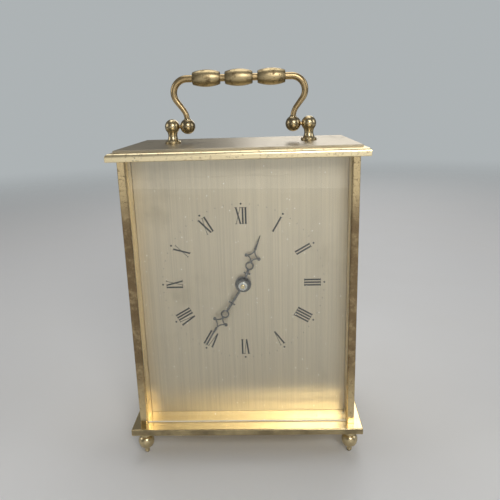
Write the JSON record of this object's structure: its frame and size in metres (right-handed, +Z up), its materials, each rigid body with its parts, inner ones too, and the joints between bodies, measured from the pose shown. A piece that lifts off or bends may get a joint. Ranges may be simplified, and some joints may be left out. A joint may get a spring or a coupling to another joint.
{
  "type": "mantel clock",
  "caption": "Brass carriage clock with a glazed front, brushed dial with Roman hours, pierced hands, swinging bail handle, turned feet and a hinged rear door.",
  "frame": {"origin": "middle of the clock's footprint, on the surface that the feet stand on", "axes": "+Z up, +X to the right of the dial, -Y out of the dial towards the viewer"},
  "size_m": [0.102, 0.068, 0.1669],
  "materials": {
    "polished_brass": "polished, with small tarnish spots",
    "satin_brass": "satin",
    "antique_brass": "antique satin",
    "front_glass": "clear",
    "dial_silver": "vertical brushed, champagne silver",
    "dark_steel": "blued grey",
    "bright_steel": "bright",
    "wheel_brass": "stamped, fine grained",
    "board_green": "lacquered laminate",
    "coil_copper": "enamelled winding",
    "black_plastic": "moulded",
    "cell_jacket": "plain lacquered jacket"
  },
  "bodies": {
    "case": {"base_plate": "satin_brass", "battery_cell": "cell_jacket", "battery_holder": "black_plastic", "circuit_board": "board_green", "contact_plate": "bright_steel", "contact_spring": "bright_steel", "dial_plate": "dial_silver", "door_catch": "black_plastic", "door_pins": "bright_steel", "drive_coil": "coil_copper", "foot_front_left": "polished_brass", "foot_front_right": "polished_brass", "foot_rear_left": "polished_brass", "foot_rear_right": "polished_brass", "front_glass": "front_glass", "hairspring": "bright_steel", "handle_post_left": "polished_brass", "handle_post_right": "polished_brass", "hex_nuts": "bright_steel", "mounting_plate": "bright_steel", "mounting_rail_left": "bright_steel", "mounting_rail_right": "bright_steel", "mounting_screws": "bright_steel", "movement_back_plate": "wheel_brass", "movement_front_plate": "wheel_brass", "movement_pillars": "bright_steel", "pillar_front_left": "polished_brass", "pillar_front_right": "polished_brass", "pillar_rear_left": "polished_brass", "pillar_rear_right": "polished_brass", "post_nuts": "bright_steel", "side_panel_left": "polished_brass", "side_panel_right": "polished_brass", "top_cap": "satin_brass", "top_plate": "satin_brass", "top_screws": "bright_steel"},
    "handle": {"handle_rod": "antique_brass", "handle_ball_left": "antique_brass", "handle_ball_right": "antique_brass", "handle_barrel_left": "antique_brass", "handle_barrel_middle": "antique_brass", "handle_barrel_right": "antique_brass", "handle_pins": "bright_steel"},
    "door": {"rear_door": "polished_brass", "door_knob": "polished_brass"},
    "minute": {"cannon_pinion": "wheel_brass", "minute_hand": "dark_steel", "hand_nut": "bright_steel"},
    "minute_idler": {"minute_wheel": "wheel_brass"},
    "hour": {"hour_wheel": "wheel_brass", "hour_hand": "dark_steel"},
    "setting": {"setting_arbor": "bright_steel", "setting_knob": "black_plastic"},
    "centre": {"centre_wheel": "wheel_brass"},
    "third": {"third_wheel": "wheel_brass"},
    "fourth": {"fourth_wheel": "wheel_brass"},
    "index": {"index_wheel": "wheel_brass"},
    "lever": {"index_lever": "bright_steel"},
    "balance": {"balance_wheel": "wheel_brass"},
    "regulator": {"regulator_lever": "bright_steel"}
  },
  "joints": [
    {"name": "handle_swing", "type": "hinge", "parent": "case", "child": "handle", "pos_m": [0, 0, 0.1436], "axis": [1, 0, 0], "range_deg": [-100, 100]},
    {"name": "door_swing", "type": "hinge", "parent": "case", "child": "door", "pos_m": [0.0427, 0.0285, 0.07335], "axis": [0, 0, -1], "range_deg": [0, 105]},
    {"name": "minute_turn", "type": "hinge", "parent": "case", "child": "minute", "pos_m": [0, -0.0184, 0.0772], "axis": [0, 1, 0], "continuous": true},
    {"name": "minute_idler_turn", "type": "hinge", "parent": "case", "child": "minute_idler", "pos_m": [0.006, -0.0146, 0.08759], "axis": [0, 1, 0], "continuous": true},
    {"name": "hour_turn", "type": "hinge", "parent": "case", "child": "hour", "pos_m": [0, -0.0162, 0.0772], "axis": [0, 1, 0], "continuous": true},
    {"name": "setting_turn", "type": "hinge", "parent": "case", "child": "setting", "pos_m": [0.018, 0.0101, 0.08759], "axis": [0, 1, 0], "continuous": true},
    {"name": "fourth_turn", "type": "hinge", "parent": "case", "child": "fourth", "pos_m": [-0.01123, -0.0029, 0.06538], "axis": [0, 1, 0], "continuous": true},
    {"name": "third_turn", "type": "hinge", "parent": "case", "child": "third", "pos_m": [-0.0144, -0.0061, 0.0772], "axis": [0, 1, 0], "continuous": true},
    {"name": "centre_turn", "type": "hinge", "parent": "case", "child": "centre", "pos_m": [0, -0.0093, 0.0772], "axis": [0, 1, 0], "continuous": true},
    {"name": "index_turn", "type": "hinge", "parent": "case", "child": "index", "pos_m": [-0.00613, 0.0001, 0.05654], "axis": [0, 1, 0], "continuous": true},
    {"name": "lever_rock", "type": "hinge", "parent": "case", "child": "lever", "pos_m": [0.00145, 0.0001, 0.05601], "axis": [0, 1, 0], "range_deg": [-6, 6]},
    {"name": "balance_swing", "type": "hinge", "parent": "case", "child": "balance", "pos_m": [0.012, 0.0017, 0.0552], "axis": [0, 1, 0], "range_deg": [-130, 130]},
    {"name": "regulator_swing", "type": "hinge", "parent": "case", "child": "regulator", "pos_m": [0.012, 0.008, 0.0552], "axis": [0, 1, 0], "range_deg": [-20, 20]}
  ],
  "couplings": [
    {"joint": "minute_idler_turn", "follows": "minute_turn", "ratio": -0.33333},
    {"joint": "hour_turn", "follows": "minute_turn", "ratio": 0.083333},
    {"joint": "setting_turn", "follows": "minute_turn", "ratio": 1},
    {"joint": "third_turn", "follows": "fourth_turn", "ratio": -0.13333},
    {"joint": "centre_turn", "follows": "fourth_turn", "ratio": 0.016667},
    {"joint": "index_turn", "follows": "fourth_turn", "ratio": -7.5}
  ]
}
